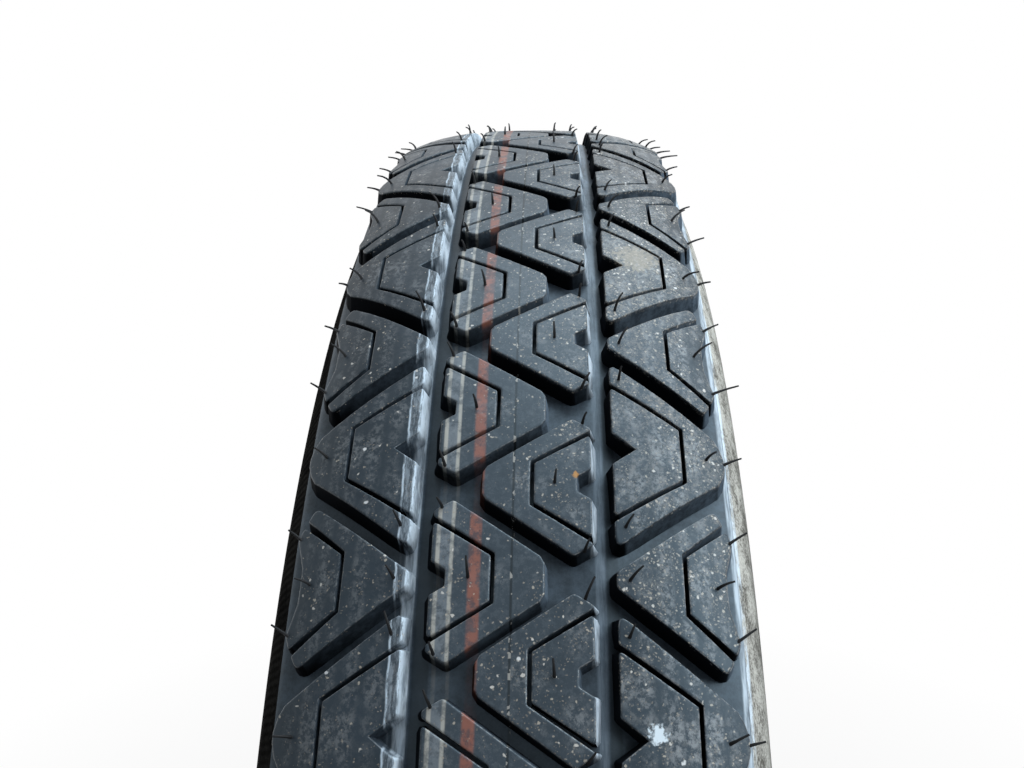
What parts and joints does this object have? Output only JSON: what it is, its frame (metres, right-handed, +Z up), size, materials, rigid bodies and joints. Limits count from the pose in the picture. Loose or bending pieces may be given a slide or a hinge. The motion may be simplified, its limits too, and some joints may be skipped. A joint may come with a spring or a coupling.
{
  "type": "spare wheel",
  "caption": "Temporary car spare wheel: narrow tyre with a block tread on a pressed steel wheel with a bolt circle, ventilation holes and a snap-in valve.",
  "frame": {"origin": "the wheel's centre, on the axle's line and midway between the rim's flanges", "axes": "+Y along the axle towards the car, with the outboard face towards -Y; +Z up as the wheel stands on its tread; the valve is at the bottom"},
  "size_m": [0.632, 0.124, 0.632],
  "materials": {
    "tyre_rubber": "charcoal moulded rubber with light road dust and paint stripes",
    "wheel_paint": "satin black paint on pressed steel",
    "valve_rubber": "matt black rubber",
    "brass": "machined brass",
    "gasket": "white sealing plastic",
    "spring_steel": "bright spring wire",
    "cap_plastic": "black moulded plastic"
  },
  "bodies": {
    "wheel": {"tyre": "tyre_rubber", "rim_barrel": "wheel_paint", "wheel_disc": "wheel_paint", "disc_welds": "wheel_paint", "valve_body": "valve_rubber", "valve_stem": "brass", "valve_core_plug": "brass", "valve_core_barrel": "brass", "valve_core_gasket": "gasket", "valve_core_spring": "spring_steel"},
    "core_pin": {"valve_core_pin": "brass", "valve_core_cup": "brass", "valve_core_seal": "valve_rubber"},
    "cap": {"valve_cap": "cap_plastic", "valve_cap_seal": "valve_rubber"}
  },
  "joints": [
    {"name": "core_pin_press", "type": "slide", "parent": "wheel", "child": "core_pin", "axis": [0, 0.7682, -0.6402], "range_m": [0, 0.0015], "stiffness_N_per_m": 600, "springref_m": -0.002, "deforming": ["valve_core_spring"]},
    {"name": "cap_lift", "type": "slide", "parent": "wheel", "child": "cap", "axis": [0, -0.7682, 0.6402], "range_m": [0, 0.012]}
  ]
}
